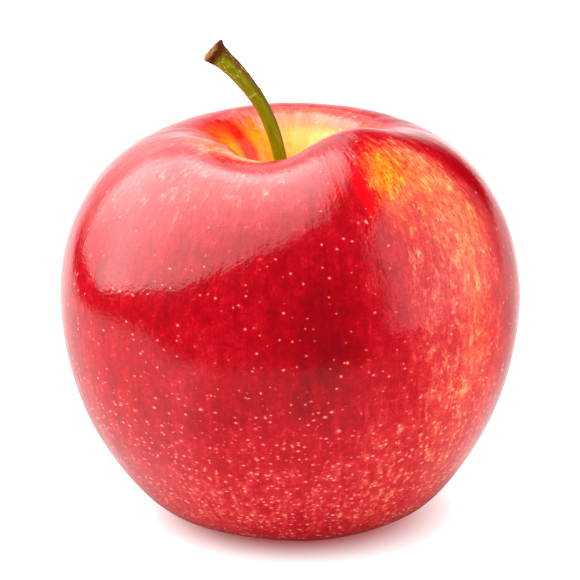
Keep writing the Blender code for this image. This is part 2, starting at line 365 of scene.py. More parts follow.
def make_softbox():
    slope = Vector((math.cos(SOFTBOX_PITCH), 0.0, math.sin(SOFTBOX_PITCH))) * SOFTBOX_REACH
    away = Vector((-math.sin(SOFTBOX_PITCH), 0.0, math.cos(SOFTBOX_PITCH))) * SOFTBOX_REACH
    back = Vector((0.0, SOFTBOX_REACH, 0.0))
    foot = APPLE_CENTRE + away

    def on_plane(along, depth):
        return foot + slope * along + back * depth

    sheet = make_panel("softbox_sheet", [on_plane(*corner) for corner in SOFTBOX_OUTLINE])
    x, y, _ = sheet.axes(sheet.place)

    def by_depth(depths, start=0.0, end=1.0):
        return sheet.step(y, *scaled(depths, SOFTBOX_REACH), start, end)

    def by_slope(places, start, end):
        return sheet.step(x, *(foot.x + slope.x * place for place in places), start, end)

    peak = tuple(on_plane(*SOFTBOX_PEAK_PLACE))
    peak = sheet.step(sheet.length(sheet.vector("SUBTRACT", sheet.place, peak)),
                      *scaled(SOFTBOX_PEAK_SIZE, SOFTBOX_REACH), SOFTBOX_PEAK, 0.0)
    shine = sheet.plus(by_depth(SOFTBOX_MIDDLE, *SOFTBOX_SHINE), peak)
    edge = sheet.times(by_depth(SOFTBOX_FRONT_EDGE),
                       by_depth(SOFTBOX_BACK, 1.0, SOFTBOX_BACK_SHARE))
    low = sheet.times(by_depth(SOFTBOX_LOW_DEPTHS, *SOFTBOX_LOW_SHARE),
                      by_depth(SOFTBOX_RISE_DEPTHS, 1.0, SOFTBOX_LOW_RISE))
    ends = sheet.times(by_slope(SOFTBOX_LOW_END, low, 1.0), by_slope(SOFTBOX_HIGH_END, 1.0, 0.0))
    sheet.set(Emission_Strength=sheet.times(shine, edge, ends))
    corner, depth, length = SOFTBOX_LAMP
    make_lamp("softbox_lamp", on_plane(*corner), back * depth, slope * length, SOFTBOX_GLOW)


def make_card():
    foot = APPLE_CENTRE + Vector((CARD_REACH, 0.0, 0.0))
    back = Vector((0.0, CARD_REACH, 0.0))
    up = Vector((0.0, 0.0, CARD_REACH))

    def on_card(depth, height):
        return foot + back * depth + up * height

    card = make_panel("card_sheet", [on_card(*corner) for corner in CARD_OUTLINE])
    depth = card.axes(card.place)[1]
    shine = card.step(depth, *scaled(CARD_MIDDLE, CARD_REACH), *CARD_SHINE)
    edge = card.step(depth, *scaled(CARD_FRONT_EDGE, CARD_REACH))
    card.set(Emission_Strength=card.times(shine, edge))
    corner, depth, height = CARD_LAMP
    make_lamp("card_lamp", on_card(*corner), back * depth, up * height, CARD_GLOW)


FILL = 0.74  # the world's even light on the colours
BACKDROP_GLOSS = 0.96  # how bright the backdrop shows in the gloss
BACKDROP_TURN = 0.2  # how far it is turned to the left
BACKDROP_EDGE = (0.83, 1.01)  # and its soft edge, as a direction's part towards it


def make_world():
    world = bpy.data.worlds.new("studio")
    bpy.context.scene.world = world
    world.use_nodes = True
    graph = Graph(world.node_tree)
    x, y, _ = graph.axes(graph.node("ShaderNodeTexCoord").outputs["Generated"])
    backdrop = graph.step(graph.minus(y, graph.times(x, BACKDROP_TURN)), *BACKDROP_EDGE,
                          STUDIO_GLOSS, BACKDROP_GLOSS)
    ray = graph.node("ShaderNodeLightPath").outputs
    light = graph.mix(ray["Is Glossy Ray"], (FILL, FILL, FILL), backdrop)
    light = graph.mix(ray["Is Camera Ray"], light, WHITE)
    graph.fill(world.node_tree.nodes["Background"], Color=light)
    world.cycles.sampling_method = "NONE"
    bpy.context.scene.view_settings.view_transform = "Standard"


make_floor()
make_softbox()
make_card()
make_world()

# -------- the apple's form

BODY_WIDTH = 78.2 * MM
BODY_HEIGHT = 66.2 * MM

# The profile from the stem cavity's floor into the calyx tube: parts of half the width, and
# of the body's height. It is the CAD profile, with the tube's mouth rounded into it.
PROFILE = (
    (0.0, 0.755), (0.051, 0.767), (0.128, 0.822), (0.22, 0.909),
    (0.322, 0.97), (0.465, 1.0), (0.639, 0.976), (0.818, 0.894),
    (0.946, 0.764), (1.0, 0.598), (0.974, 0.429), (0.885, 0.269),
    (0.747, 0.136), (0.59, 0.042), (0.43, 0.0), (0.385, 0.0),
    (0.288, 0.017), (0.184, 0.066), (0.087, 0.121), (0.058, 0.136),
    (0.048, 0.152), (0.042, 0.18), (0.03, 0.207), (0.0, 0.212),
)
# Places along the profile, counted in its points.
SHOULDERS = 5.0  # the highest ring
CAVITY_EDGE = 4.5  # where the lobes lean in most
UNDERSIDE = 12.7  # the flank just above the floor
RESTING_RING = 14.5

# Uneven lobes of the shoulders: azimuth and width in degrees, then how far they rise and how
# far they lean in. Azimuths count from the front (-Y) towards the right (+X).
SHOULDER_LOBES = (
    (20, 16, 1.9 * MM, 2.4 * MM),
    (52, 19, 3.4 * MM, 3.2 * MM),
    (84, 14, 0.7 * MM, 0.0),
    (140, 20, 0.3 * MM, 0.0),
    (180, 24, 0.5 * MM, 0.0),
    (-112, 22, -0.5 * MM, 0.0),
    (-62, 20, 1.6 * MM, 1.5 * MM),
)
RISE_REACH = (10 * MM, 16 * MM)  # how far a lobe's rise carries, inwards and outwards
LEAN_REACH = (9 * MM, 13 * MM)  # the same for its lean
PIT_RADIUS = 6 * MM  # inside this radius the lean fades out
FULL_FLANK = (52, 34, 0.75 * MM)  # a fuller side low on the right: azimuth, width, fullness
FULL_FLANK_REACH = (9 * MM, 9 * MM)
KNOBS = 5
FIRST_KNOB = 18  # azimuth in degrees
KNOB_RELIEF = 0.35 * MM  # the rim between two knobs is this much higher
KNOB_REACH = (8 * MM, 8 * MM)
FLAT_SPOT = 0.15 * MM  # what is lower than this is pressed flat on the floor

RINGS_PER_POINT = 7
SEGMENTS = 520

# The skin's unevenness. Swells are (height in millimetres, size in millimetres, seed). Flutes
# run along the meridians: (height in millimetres, features across, features along, seed) and
# where they show on the profile, as its place and reach, or everywhere.
SWELLS = (
    (0.22, 17, 1),
    (0.05, 5.5, 2),
)
FLUTES = (
    (0.07, 7.0, 0.35, 4, None),
    (0.02, 30.0, 0.7, 5, None),
    (0.45, 4.2, 0.15, 3, (3.4, 1.3)),  # creases in the stem's cavity
    (0.5, 4.2, 0.15, 3, (17.4, 1.3)),  # and in the flower's basin
    (0.5, 6.5, 0.3, 6, (18.6, 0.7)),  # folds around the calyx tube's mouth
)


def curve(points, roots, part):
    """Places on a centripetal curve, part of the way from the second of four points on.

    The roots are those of the three distances between the points.
    """
    before, start, end, after = points
    back, step, ahead = roots
    leave = (start - before) / back + (end - start) / step - (end - before) / (back + step)
    arrive = (end - start) / step + (after - end) / ahead - (after - start) / (step + ahead)
    near, far = start + leave * step / 3, end - arrive * step / 3
    rest = 1.0 - part
    return (start * rest ** 3 + near * 3 * rest ** 2 * part + far * 3 * rest * part ** 2
            + end * part ** 3)


def profile(place):
    """Radius and height at places along the profile."""
    points = np.array(PROFILE) * (BODY_WIDTH / 2, BODY_HEIGHT)
    # One more point at each end, mirrored in the axis.
    points = np.vstack((points[1] * (-1, 1), points, points[-2] * (-1, 1)))
    place = np.asarray(place, float)
    first = np.minimum(place.astype(int), len(PROFILE) - 2)
    near = [points[first + step] for step in range(4)]
    roots = [np.sqrt(np.linalg.norm(end - start, axis=-1, keepdims=True))
             for start, end in zip(near, near[1:])]
    return curve(near, roots, (place - first)[..., None])


def fade(place, centre, reach):
    """1 at the centre place, fading with the distance from it along the profile's plane."""
    distance = np.linalg.norm(profile(place) - profile(centre), axis=-1)
    return np.exp(-(distance / np.where(place < centre, *reach)) ** 2)


def around(azimuth, centre, width):
    """1 at the centre azimuth in degrees, fading over the width in degrees."""
    return np.exp((np.cos(azimuth - math.radians(centre)) - 1.0) / math.radians(width) ** 2)


def share(value, low, high):
    """0 where the value is low, 1 where it is high, and straight between."""
    return np.clip((value - low) / (high - low), 0.0, 1.0)


def skin_point(place, azimuth):
    """Points of the skin at places along the profile and azimuths in radians."""
    radius, height = profile(place).T
    rise_here = fade(place, SHOULDERS, RISE_REACH)
    lean_here = fade(place, CAVITY_EDGE, LEAN_REACH) * np.minimum(radius / PIT_RADIUS, 1.0)
    for centre, width, rise, lean in SHOULDER_LOBES:
        beside = around(azimuth, centre, width)
        radius = radius - lean * lean_here * beside
        height = height + rise * rise_here * beside
    centre, width, fullness = FULL_FLANK
    flank_here = fade(place, UNDERSIDE, FULL_FLANK_REACH)
    radius = radius + fullness * flank_here * around(azimuth, centre, width)
    turn = KNOBS * (azimuth - math.radians(FIRST_KNOB))
    knob_here = fade(place, RESTING_RING, KNOB_REACH)
    height = height + KNOB_RELIEF * knob_here * (1.0 - np.cos(turn)) / 2
    return np.stack((radius * np.sin(azimuth), -radius * np.cos(azimuth), height), axis=-1)


LATTICE = 256  # the noise repeats after this many cells; a power of two


def gradient_noise(points, seed):
    """Smooth noise about zero with features one unit apart, for an array of points."""
    chance = np.random.default_rng(seed)
    slopes = chance.normal(size=(LATTICE, 3))
    slopes /= np.linalg.norm(slopes, axis=1, keepdims=True)
    shuffle = np.tile(chance.permutation(LATTICE), 2)
    cell = np.floor(points).astype(int)
    part = points - cell
    ease = part ** 3 * (part * (part * 6 - 15) + 10)
    total = np.zeros(len(points))
    for corner in itertools.product((0, 1), repeat=3):
        x, y, z = ((cell + corner) & (LATTICE - 1)).T
        slope = slopes[shuffle[shuffle[shuffle[x] + y] + z]]
        weight = np.prod(np.where(corner, ease, 1.0 - ease), axis=1)
        total += weight * np.sum(slope * (part - corner), axis=1)
    return total


def unevenness(points, place, azimuth):
    """How far the skin stands proud of its even form."""
    total = np.zeros(len(place))
    for height, size, seed in SWELLS:
        total += height * gradient_noise(points / (size * MM), seed)
    for height, across, along, seed, where in FLUTES:
        spots = np.stack((np.cos(azimuth) * across, np.sin(azimuth) * across, place * along),
                         axis=-1)
        here = 1.0 if where is None else np.exp(-((place - where[0]) / where[1]) ** 2)
        total += height * gradient_noise(spots, seed) * here
    return MM * total


def new_attribute(mesh, name, values):
    """Store one number or three for each vertex."""
    kind = "FLOAT" if values.ndim == 1 else "FLOAT_VECTOR"
    field = "value" if values.ndim == 1 else "vector"
    made = mesh.attributes.new(name, kind, "POINT")
    made.data.foreach_set(field, np.ascontiguousarray(values, np.float32).ravel())


def place_piece(piece, material, node):
    """Give a piece its look and put it where its CAD node was."""
    piece.data.materials.append(material)
    bpy.context.scene.collection.objects.link(piece)
    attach(piece, BODY)
    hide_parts(node)


# How much red covers the skin's yellow ground: 0 is bare yellow, 1 is deep red. Each patch is
# (azimuth, width, place, reach, strength) with the width in degrees and the reach in the
# profile's points.
EVEN_BLUSH = 0.95
BLUSH_PATCHES = (
    (34, 7, 6.45, 0.8, -0.3),  # the yellow patch, front right
    (46, 18, 6.3, 0.7, -0.26),
    (51, 20, 7.9, 2.4, -0.34),  # orange around and below it
    (57, 9, 7.7, 0.6, -0.14),
    (60, 6, 6.9, 0.8, -0.16),
    (72, 5, 7.1, 1.5, 0.16),  # a dark red band on its right
    (8, 9, 8.8, 1.2, 0.2),  # deep red in the middle
    (-12, 30, 7.8, 1.0, 0.04),
    (67, 9, 9.0, 1.3, 0.14),
    (-54, 16, 5.15, 0.34, -0.46),  # the cavity's rim, front left
    (-28, 20, 4.8, 0.4, -0.46),
    (-140, 30, 3.6, 1.0, 0.02),  # the cavity's back left wall, and a streak in it
    (-135, 9, 3.3, 0.8, 0.46),
    (-135, 8, 4.5, 0.7, 0.12),
    (160, 24, 3.4, 0.9, -0.14),
    (180, 70, 4.75, 0.55, -0.16),  # the back rim
    (150, 24, 4.2, 0.6, 0.06),
    (-52, 34, 6.4, 1.3, -0.17),  # pink streaks on the left shoulder
    (-14, 30, 5.9, 0.9, -0.15),
    (-22, 26, 11.0, 1.6, -0.08),
    (-14, 20, 10.2, 0.9, 0.06),
    (30, 10, 9.1, 0.9, 0.04),
    (46, 34, 11.0, 2.0, -0.16),  # warm red low on the right
    (-10, 60, 12.2, 0.9, -0.08),
    (-140, 40, 8.6, 2.6, -0.34),  # the shaded side, behind
    (160, 26, 7.4, 2.0, -0.2),
    (120, 18, 8.0, 2.0, 0.12),
)
# Patches of pure bright red, which hide the ground.
VIVID_PATCHES = (
    (25, 3.4, 6.25, 0.95, 1.0),
    (15, 7.0, 5.9, 0.9, 0.6),
)
CAVITY_GROUND = (3.7, 5.1)  # the yellow ground gives way to red between these places
CAVITY_PALER = 0.74  # and inside them there is this much less red
BASIN_GROUND = (13.6, 16.8)  # it comes back towards the flower's basin
BASIN_PALER = 0.5
PATCH_EDGE = 1.5  # how firm a patch's edge is: 1 is a plain bell


def patches(place, azimuth, given):
    """The sum of the given patches, which have soft edges."""
    total = np.zeros(len(place))
    for centre, width, at, reach, strength in given:
        turn = (azimuth - math.radians(centre) + math.pi) % (2 * math.pi) - math.pi
        far = (turn / math.radians(width)) ** 2 + ((place - at) / reach) ** 2
        total += strength * np.exp(-far ** PATCH_EDGE)
    return total


def blush(place, azimuth):
    return (EVEN_BLUSH + patches(place, azimuth, BLUSH_PATCHES)
            - CAVITY_PALER * (1.0 - share(place, *CAVITY_GROUND))
            - BASIN_PALER * share(place, *BASIN_GROUND))


def make_apple_mesh():
    """Start from a sphere and pull each ring to its place on the skin."""
    rings = (len(PROFILE) - 1) * RINGS_PER_POINT
    bm = bmesh.new()
    bmesh.ops.create_uvsphere(bm, u_segments=SEGMENTS, v_segments=rings, radius=1.0)
    mesh = bpy.data.meshes.new("apple")
    bm.to_mesh(mesh)
    bm.free()
    count = len(mesh.vertices)
    sphere = np.empty(count * 3)
    mesh.vertices.foreach_get("co", sphere)
    sphere = sphere.reshape(-1, 3)
    polar = np.arccos(np.clip(sphere[:, 2], -1.0, 1.0))
    place = np.round(polar / math.pi * rings) / RINGS_PER_POINT
    azimuth = np.arctan2(sphere[:, 0], -sphere[:, 1])
    points = skin_point(place, azimuth)
    mesh.vertices.foreach_set("co", points.ravel())
    mesh.update()
    normals = np.empty(count * 3, np.float32)
    mesh.vertices.foreach_get("normal", normals)
    normals = normals.reshape(-1, 3)
    points = points + normals * unevenness(points, place, azimuth)[:, None]
    points[:, 2] = np.where(points[:, 2] < FLAT_SPOT, 0.0, points[:, 2])
    mesh.vertices.foreach_set("co", points.ravel())
    mesh.shade_smooth()
    mesh.update()

    golden = 1.0 - share(place, *GOLDEN_RIM) + patches(place, azimuth, GOLDEN_PATCHES)
    for name, values in (
        ("flow", np.stack((np.cos(azimuth), np.sin(azimuth), place / 10.0), axis=-1)),
        ("along", place),
        ("blush", blush(place, azimuth)),
        ("vivid", patches(place, azimuth, VIVID_PATCHES)),
        ("golden", np.clip(golden, 0.0, 1.0)),
    ):
        new_attribute(mesh, name, values)
    return mesh


# -------- the skin

# Skin colours from the bare ground to the deepest red: golden in the cavity, the rim and the
# yellow patch, and a pinker salmon over the flanks. REDS says how much red each stands for.
REDS = (0.0, 0.18, 0.36, 0.54, 0.7, 0.86, 1.04, 1.25)
GOLDEN_SKIN = (
    (0.9, 0.62, 0.11),
    (0.92, 0.43, 0.018),
    (0.88, 0.2, 0.009),
    (0.83, 0.072, 0.009),
    (0.74, 0.012, 0.007),
    (0.56, 0.001, 0.005),
    (0.4, 0.0004, 0.004),
    (0.25, 0.0006, 0.005),
)
SALMON_SKIN = (
    (0.92, 0.6, 0.4),
    (0.92, 0.42, 0.23),
    (0.83, 0.22, 0.125),
    (0.77, 0.082, 0.06),
    (0.68, 0.018, 0.026),
    (0.56, 0.0015, 0.011),
    (0.4, 0.0004, 0.005),
    (0.27, 0.0006, 0.006),
)
GOLDEN_PATCHES = (
    (38, 14, 6.5, 1.1, 1.0),
    (60, 14, 7.9, 1.6, 0.7),
    (76, 12, 9.0, 1.8, 0.5),
    (60, 28, 11.3, 2.3, 0.55),
)
GOLDEN_RIM = (4.4, 5.3)  # golden inside, salmon outside
BLUSH_LIMIT = 1.3  # the ramps end at this much red
VIVID = (0.78, 0.0012, 0.006)
VIVID_COVER = 0.85
STIPPLE = (0.34, 0.003, 0.005)
STIPPLE_COVER = 0.7
DOT = (1.0, 0.46, 0.32)
DOT_COVER = 0.78
# Lenticels in three sizes of cell: cells per metre, how flat they are, a dot's radius in
# cells, then the part of the cells that have a dot at the shoulder and at the underside.
LENTICELS = (
    (500.0, 1.0, 0.095, 0.6, 0.7),
    (820.0, 1.4, 0.165, 0.1, 0.75),
    (900.0, 1.6, 0.25, -0.95, 0.8),
)
DOT_PLACES = (6.0, 12.6)  # the shoulder and the underside, along the profile
DOT_SIZES = (0.6, 0.8)  # the smallest dot's share of the radius, and the spread
DOT_RAGGED = 1.1
DOT_EDGE = (0.2, 1.3)  # in a dot's own radii
DOT_STRENGTH = (0.42, 0.95)  # of the smallest and the largest
HALO_EDGE = (0.8, 3.4)
HALO_PALER = 0.1

# Streaks are noise drawn out along the meridians: features across and along, detail, roughness.
FINE_STREAKS = (64.0, 13.0, 3.0, 0.6)
MIDDLE_STREAKS = (32.0, 18.0, 2.0, 0.55)
BROAD_STREAKS = (11.0, 4.0)
BLOTCHES = (30.0, 46.0)
STIPPLES = (150.0, 75.0, 1.0)
FLUTING = (46.0, 20.0)
# Noise counts from the first value on, and in full from the second.
BLOTCH_EDGE = (0.52, 0.7)
STIPPLE_EDGE = (0.55, 0.64)
VIVID_EDGE = (0.3, 0.95)
# Two places along the profile, then the strength before and after them.
STREAK_STRENGTH = (5.2, 6.8, 1.6, 0.8)
BREAK_STRENGTH = (3.6, 5.6, 0.32, 1.0)
BLOTCH_STRENGTH = (4.6, 6.0, 0.0, 1.0)
STIPPLE_STRENGTH = (4.6, 5.6, 0.0, 1.0)
STIPPLE_LOSS = (7.6, 9.2, 1.0, 0.15)
BLOTCH_BY_RED = (0.98, 0.75, 0.05, 0.24)  # the same, by how much red there is
# Mottles are (features per metre, detail, roughness).
MOTTLE = (330.0, 3.0, 0.6)
PATCHY = (110.0, 2.0, 0.5)
SPECKLE = (900.0, 2.0, 0.6)
GRAIN = (2900.0, 2.0, 0.7)
PEEL = (800.0, 2.0, 0.5)
PORES = (2200.0, 1.0, 0.5)
SKIN_ROUGHNESS = (0.095, 0.145)
SKIN_RELIEF = 0.036 * MM
SKIN_IOR = 1.5


def colour_ramp(graph, value, colours):
    ramp = graph.node("ShaderNodeValToRGB")
    stops = ramp.color_ramp.elements
    for red in REDS[2:]:
        stops.new(red / BLUSH_LIMIT)
    for stop, red, colour in zip(stops, REDS, colours):
        stop.position = red / BLUSH_LIMIT
        stop.color = (*colour, 1.0)
    return graph.feed(ramp, value)


def lenticels(skin, along, grain):
    """How strongly a lenticel's dot shows, and the paler skin around it."""
    dots, halos = [], []
    for scale, squash, radius, shoulder, underside in LENTICELS:
        squashed = skin.vector("MULTIPLY", skin.place, (1.0, 1.0, squash))
        distance, lot, size = skin.cells(squashed, scale)
        smallest, spread = DOT_SIZES
        reach = skin.times(skin.plus(skin.times(size, spread), smallest), radius)
        chosen = skin.math("LESS_THAN", lot, skin.step(along, *DOT_PLACES, shoulder, underside))
        out = skin.plus(skin.math("DIVIDE", distance, reach), centred(skin, grain, DOT_RAGGED))
        dots.append(skin.times(skin.step(out, *DOT_EDGE, 1.0, 0.0), chosen,
                               skin.step(size, 0.0, 0.9, *DOT_STRENGTH)))
        halos.append(skin.times(skin.step(out, *HALO_EDGE, 1.0, 0.0), chosen))
    return skin.highest(*dots), skin.highest(*halos)


def skin_material():
    skin = Surface("apple_skin")
    along = skin.attribute("along")
    flow = skin.attribute("flow", "Vector")
    reds = skin.attribute("blush")

    def streaks(across, down, detail=2.0, roughness=0.5):
        return skin.noise(skin.vector("MULTIPLY", flow, (across, across, down)), 1.0, detail,
                          roughness)

    fine = streaks(*FINE_STREAKS)
    mottle = skin.noise(skin.place, *MOTTLE)
    grain = skin.noise(skin.place, *GRAIN)
    dots, halos = lenticels(skin, along, grain)

    # How much red: the blush, broken up by streaks, mottles and grain. The finer streaks are
    # strongest at the shoulders, and all of it is faint in the cavity.
    broken = skin.times(skin.step(along, *STREAK_STRENGTH),
                        skin.plus(centred(skin, fine, 0.27),
                                  centred(skin, streaks(*MIDDLE_STREAKS), 0.25)))
    for value, weight in (
        (streaks(*BROAD_STREAKS), 0.3),
        (mottle, 0.44),
        (skin.noise(skin.place, *PATCHY), 0.24),
        (skin.noise(skin.place, *SPECKLE), 0.34),
        (grain, 0.52),
    ):
        broken = skin.plus(broken, centred(skin, value, weight))
    broken = skin.times(broken, skin.step(along, *BREAK_STRENGTH))
    blotch = skin.times(skin.step(streaks(*BLOTCHES), *BLOTCH_EDGE),
                        skin.step(along, *BLOTCH_STRENGTH))
    # Blotches of the ground come through most where there is less red.
    blotch = skin.times(blotch, skin.step(reds, *BLOTCH_BY_RED))
    red = skin.minus(skin.minus(skin.plus(reds, broken), blotch), skin.times(halos, HALO_PALER))
    red = skin.math("DIVIDE", red, BLUSH_LIMIT)
    colour = skin.mix(skin.attribute("golden"), colour_ramp(skin, red, SALMON_SKIN),
                      colour_ramp(skin, red, GOLDEN_SKIN))

    # Fine dark red stipples, at the shoulders most of all, then the bright red and the dots.
    stipple = skin.times(skin.step(streaks(*STIPPLES), *STIPPLE_EDGE),
                         skin.step(along, *STIPPLE_STRENGTH), skin.step(along, *STIPPLE_LOSS))
    colour = skin.mix(skin.times(stipple, STIPPLE_COVER), colour, STIPPLE)
    vivid = skin.plus(skin.attribute("vivid"),
                      skin.plus(centred(skin, mottle, 1.0), centred(skin, fine, 1.8)))
    colour = skin.mix(skin.step(vivid, *VIVID_EDGE, 0.0, VIVID_COVER), colour, VIVID)
    colour = skin.mix(skin.times(dots, DOT_COVER), colour, DOT)

    relief = skin.plus(skin.noise(skin.place, *PEEL), centred(skin, streaks(*FLUTING), 0.6),
                       centred(skin, skin.noise(skin.place, *PORES), 0.55),
                       skin.times(dots, 0.25))
    skin.set(Base_Color=colour, Roughness=skin.step(grain, 0.3, 0.7, *SKIN_ROUGHNESS),
             Normal=skin.bump(relief, SKIN_RELIEF), IOR=SKIN_IOR)
    return skin.material


apple = bpy.data.objects.new("apple", make_apple_mesh())
place_piece(apple, skin_material(), "apple_body")

# -------- swept pieces

# Two steps along a line go the same way if the product of their vectors is more than this.
SAME_WAY = (0.005 * MM) ** 2


def smooth_line(points, steps):
    """A curve through rows of x, y, z and maybe more, with steps between each two."""
    points = np.array(points, float)
    points = np.vstack((2 * points[0] - points[1], points, 2 * points[-1] - points[-2]))
    line = []
    for near in zip(points, points[1:], points[2:], points[3:]):
        roots = [np.sqrt(np.linalg.norm((end - start)[:3])) for start, end in zip(near, near[1:])]
        line += [curve(near, roots, part) for part in np.arange(steps) / steps]
    return np.array(line + [points[-2]])


def strip_faces(rows, wide, columns):
    """Faces between rows of wide points; as many columns as points close it to a tube."""
    return [(row * wide + col, row * wide + (col + 1) % wide,
             (row + 1) * wide + (col + 1) % wide, (row + 1) * wide + col)
            for row in range(rows - 1) for col in range(columns)]


def sweep(name, line, sides, shape):
    """A closed tube along rows of x, y, z, radius.

    The shape function gets the part along and the angles round, and gives factors for the
    radius and a shift along the line. The mesh keeps the part and the angle as attributes.
    """
    centres, radii = line[:, :3], line[:, 3]
    count = len(line)
    forward = np.gradient(centres, axis=0)
    for index in range(1, count):  # rings that turn back over an end keep its direction
        if np.dot(forward[index], forward[index - 1]) < SAME_WAY:
            forward[index] = forward[index - 1]
    forward /= np.linalg.norm(forward, axis=1, keepdims=True)
    side = np.array((1.0, 0.0, 0.0))
    angles = np.arange(sides) * 2 * math.pi / sides
    points = np.empty((count, sides, 3))
    for index in range(count):
        side = side - forward[index] * np.dot(side, forward[index])
        side /= np.linalg.norm(side)
        other = np.cross(forward[index], side)
        factor, shift = shape(index / (count - 1), angles)
        out = np.cos(angles)[:, None] * side + np.sin(angles)[:, None] * other
        points[index] = (centres[index] + out * (radii[index] * factor)[:, None]
                         + forward[index] * np.reshape(shift, (-1, 1)))
    verts = [tuple(point) for ring in points for point in ring]
    faces = strip_faces(count, sides, sides)
    faces.append(tuple(reversed(range(sides))))
    faces.append(tuple((count - 1) * sides + turn for turn in range(sides)))
    mesh = bpy.data.meshes.new(name)
    mesh.from_pydata(verts, [], faces)
    mesh.shade_smooth()
    mesh.update()
    along = np.repeat(np.arange(count) / (count - 1), sides)
    turn = np.tile(angles, count)
    new_attribute(mesh, "along", along)
    new_attribute(mesh, "round", np.stack((np.cos(turn), np.sin(turn), along), axis=-1))
    return bpy.data.objects.new(name, mesh)


# -------- the stem

PIT_FLOOR = PROFILE[0][1] * BODY_HEIGHT
STEM_RADIUS = 1.05 * MM
# Centre line of the stem: x, y and height above the pit's floor, and the thickness as a
# multiple of STEM_RADIUS. The last points turn over its broken end, into a shallow cup.
STEM_LINE = (
    (-0.4, 0.0, -4.7, 0.9),
    (-0.5, 0.0, 0.0, 1.08),
    (-0.75, 0.2, 6.0, 1.02),
    (-1.5, 0.5, 11.6, 1.03),
    (-2.8, 0.9, 16.6, 1.1),
    (-5.0, 1.4, 21.6, 1.19),
    (-8.6, 2.0, 26.4, 1.38),
    (-10.9, 2.3, 28.6, 1.58),
    (-12.1, 2.5, 29.65, 1.8),
    (-12.9, 2.6, 30.35, 2.16),
)
# The end's rings: shift along the line in millimetres, and thickness.
STEM_END = ((0.22, 2.12), (0.36, 1.95), (0.4, 1.65), (0.36, 1.25), (0.34, 0.8),
            (0.36, 0.4), (0.36, 0.02))
STEM_SIDES = 56
STEM_STEPS = 14
# Unevenness of the stem: height as a part of the radius, features round and features along.
STEM_RIDGES = (0.08, 1.6, 9)
STEM_FIBRES = (0.022, 4.0, 22)
STEM_UPPER = (0.5, 0.8)  # it grows between these parts of the length
STEM_FLARE = (0.86, 0.94)  # and the lip's own between these
SCAR = 0.558  # where a bract left its ring, as a part of the length
SCAR_SWELL = (0.045, 0.006)  # the ring's height and reach,
SCAR_DIP = (0.02, 0.01, 0.02)  # and those of the dip above it, which lies this much higher
STEM_OLIVE = (0.205, 0.208, 0.001)
STEM_GREEN = (0.258, 0.272, 0.001)
# Bark brown that is partly painted shade, for the stem's right side.
STEM_SHADED_BROWN = (0.13, 0.028, 0.015)
STEM_BARK = (0.44, 0.245, 0.065)
STEM_DARK = (0.085, 0.017, 0.0015)
STEM_LIP = (0.48, 0.225, 0.085)
STEM_SPECK = (0.6, 0.46, 0.11)
STEM_END_RED = (0.26, 0.07, 0.032)
STEM_DUST = (0.62, 0.58, 0.45)
STEM_RELIEF = 0.1 * MM


def stem_line():
    line = smooth_line([(x * MM, y * MM, PIT_FLOOR + z * MM, thick * STEM_RADIUS)
                        for x, y, z, thick in STEM_LINE], STEM_STEPS)
    forward = line[-1, :3] - line[-2, :3]
    forward /= np.linalg.norm(forward)
    end = [(*(line[-1, :3] + forward * shift * MM), thick * STEM_RADIUS)
           for shift, thick in STEM_END]
    return np.vstack((line, end))


def stem_shape(part, angles):
    """Ridges along the stem, a swollen ring at the scar, and an uneven flared lip."""
    def spots(across, along):
        return np.stack((np.cos(angles) * across, np.sin(angles) * across,
                         np.full(len(angles), part * along)), axis=-1)

    height, *features = STEM_RIDGES
    ridges = spots(*features)
    upper, lip = share(part, *STEM_UPPER), share(part, *STEM_FLARE)
    factor = 1.0 + height * gradient_noise(ridges, 11) * (1.0 + 0.5 * upper)
    height, *features = STEM_FIBRES
    factor += (height + 0.028 * upper) * gradient_noise(spots(*features), 12)
    height, reach = SCAR_SWELL
    factor += height * math.exp(-((part - SCAR) / reach) ** 2)
    height, reach, above = SCAR_DIP
    factor -= height * math.exp(-((part - SCAR - above) / reach) ** 2)
    factor += lip * 0.09 * gradient_noise(ridges * 1.3, 13)
    return factor, lip * 0.55 * MM * gradient_noise(ridges, 14)


